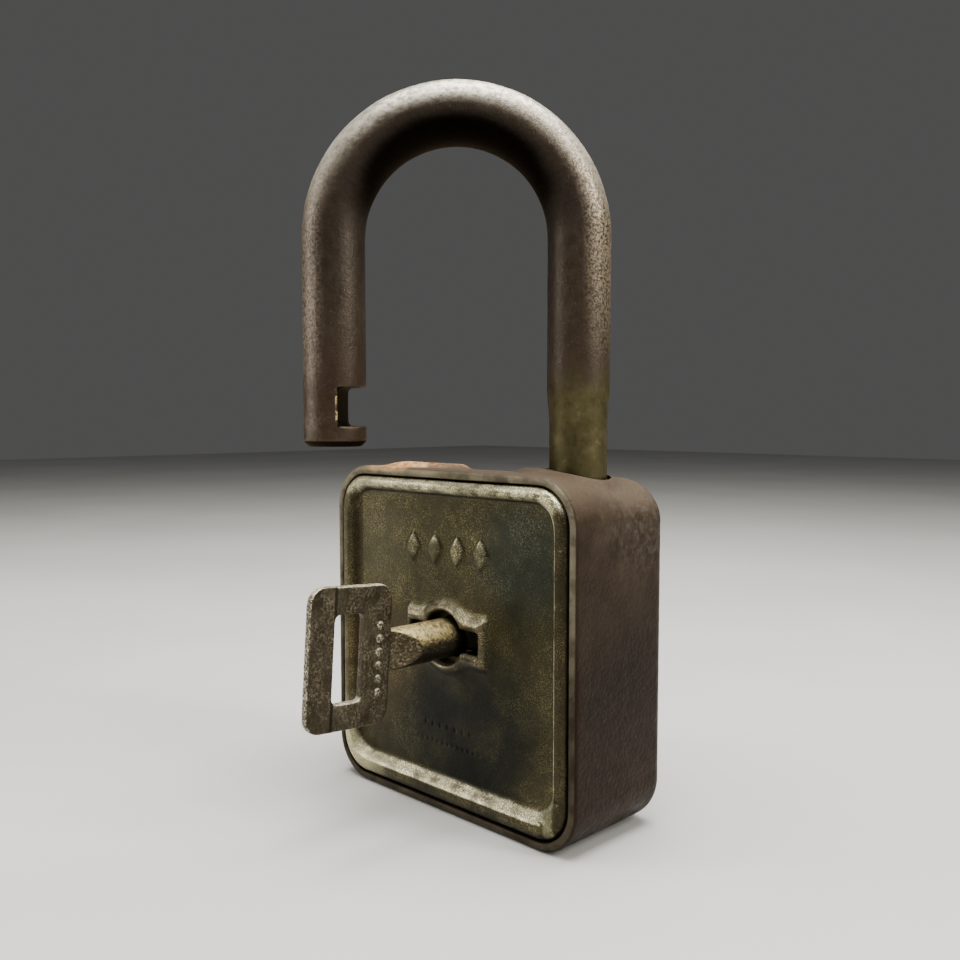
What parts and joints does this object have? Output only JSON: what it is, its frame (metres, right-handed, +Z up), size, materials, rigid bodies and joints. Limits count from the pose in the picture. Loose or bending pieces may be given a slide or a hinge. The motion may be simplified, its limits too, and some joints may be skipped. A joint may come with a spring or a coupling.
{
  "type": "padlock",
  "caption": "Square lever padlock standing open: shell with beaded front plate, swung shackle with a notched toe, and a key in the keyhole.",
  "frame": {"origin": "middle of the lock body's flat base, halfway across and halfway through its depth", "axes": "+X to the right seen from the front, the shackle's heel side; -Y out of the front plate, the key's side; +Z up along the shackle's legs"},
  "size_m": [0.06, 0.0533, 0.1245],
  "materials": {
    "enamel": "worn dark brown enamel",
    "plated": "tarnished zinc plate",
    "shackle_steel": "worn dark brown enamel",
    "key_metal": "grainy cast metal with worn brassy plating",
    "guide_steel": "oiled",
    "spring_steel": "bright",
    "case_steel": "oiled",
    "brass": "dull"
  },
  "bodies": {
    "lock_body": {"body_shell": "enamel", "front_plate": "plated", "heel_tube": "guide_steel", "heel_bush": "guide_steel", "toe_bush": "guide_steel", "toe_cup": "guide_steel", "case_plate": "case_steel", "cap_plate": "case_steel", "case_pillars": "case_steel", "cap_screws": "case_steel", "case_spacers": "case_steel", "lever_post": "case_steel", "spring_rest": "case_steel", "bolt_stud": "case_steel", "bolt_rail": "case_steel", "spring_stop": "case_steel", "key_nose_bush": "brass", "shackle_spring": "spring_steel"},
    "spring_seat": {"spring_washer": "guide_steel"},
    "shackle": {"shackle": "shackle_steel", "stop_collar": "guide_steel", "collar_pin": "guide_steel"},
    "curtain": {"curtain": "brass"},
    "key": {"key": "key_metal"},
    "bolt": {"bolt": "brass", "bolt_stump": "brass", "bolt_spring": "spring_steel"},
    "lever_1": {"lever_1": "brass", "lever_spring_1": "spring_steel"},
    "lever_2": {"lever_2": "brass", "lever_spring_2": "spring_steel"},
    "lever_3": {"lever_3": "brass", "lever_spring_3": "spring_steel"},
    "lever_4": {"lever_4": "brass", "lever_spring_4": "spring_steel"},
    "lever_5": {"lever_5": "brass", "lever_spring_5": "spring_steel"},
    "lever_6": {"lever_6": "brass", "lever_spring_6": "spring_steel"}
  },
  "joints": [
    {"name": "shackle_lift", "type": "slide", "parent": "lock_body", "child": "spring_seat", "axis": [0, 0, 1], "range_m": [-0.0186, 0], "stiffness_N_per_m": 300, "springref_m": 0.012, "deforming": ["shackle_spring"]},
    {"name": "shackle_swing", "type": "hinge", "parent": "spring_seat", "child": "shackle", "pos_m": [0.0204, 0, 0.06], "axis": [0, 0, 1], "range_deg": [-43.18, 136.82]},
    {"name": "key_turn", "type": "hinge", "parent": "lock_body", "child": "curtain", "pos_m": [0, 0, 0.0312], "axis": [0, 1, 0], "range_deg": [0, 90], "stiffness_Nm_per_rad": 0.02, "springref_deg": -20.05},
    {"name": "key_withdraw", "type": "slide", "parent": "curtain", "child": "key", "axis": [0, -1, 0], "range_m": [0, 0.028]},
    {"name": "bolt_slide", "type": "slide", "parent": "lock_body", "child": "bolt", "axis": [1, 0, 0], "range_m": [0, 0.0039]},
    {"name": "lever_1_lift", "type": "hinge", "parent": "lock_body", "child": "lever_1", "pos_m": [0.0095, 0, 0.0445], "axis": [0, 1, 0], "range_deg": [0, 6]},
    {"name": "lever_2_lift", "type": "hinge", "parent": "lock_body", "child": "lever_2", "pos_m": [0.0095, 0, 0.0445], "axis": [0, 1, 0], "range_deg": [0, 4.4]},
    {"name": "lever_3_lift", "type": "hinge", "parent": "lock_body", "child": "lever_3", "pos_m": [0.0095, 0, 0.0445], "axis": [0, 1, 0], "range_deg": [0, 5.4]},
    {"name": "lever_4_lift", "type": "hinge", "parent": "lock_body", "child": "lever_4", "pos_m": [0.0095, 0, 0.0445], "axis": [0, 1, 0], "range_deg": [0, 3.8]},
    {"name": "lever_5_lift", "type": "hinge", "parent": "lock_body", "child": "lever_5", "pos_m": [0.0095, 0, 0.0445], "axis": [0, 1, 0], "range_deg": [0, 5]},
    {"name": "lever_6_lift", "type": "hinge", "parent": "lock_body", "child": "lever_6", "pos_m": [0.0095, 0, 0.0445], "axis": [0, 1, 0], "range_deg": [0, 4.2]}
  ],
  "couplings": [
    {"joint": "bolt_slide", "follows": "key_turn", "m_per_rad": 0.0024828},
    {"joint": "lever_1_lift", "follows": "key_turn", "ratio": 0.066667},
    {"joint": "lever_2_lift", "follows": "key_turn", "ratio": 0.048889},
    {"joint": "lever_3_lift", "follows": "key_turn", "ratio": 0.06},
    {"joint": "lever_4_lift", "follows": "key_turn", "ratio": 0.042222},
    {"joint": "lever_5_lift", "follows": "key_turn", "ratio": 0.055556},
    {"joint": "lever_6_lift", "follows": "key_turn", "ratio": 0.046667}
  ]
}
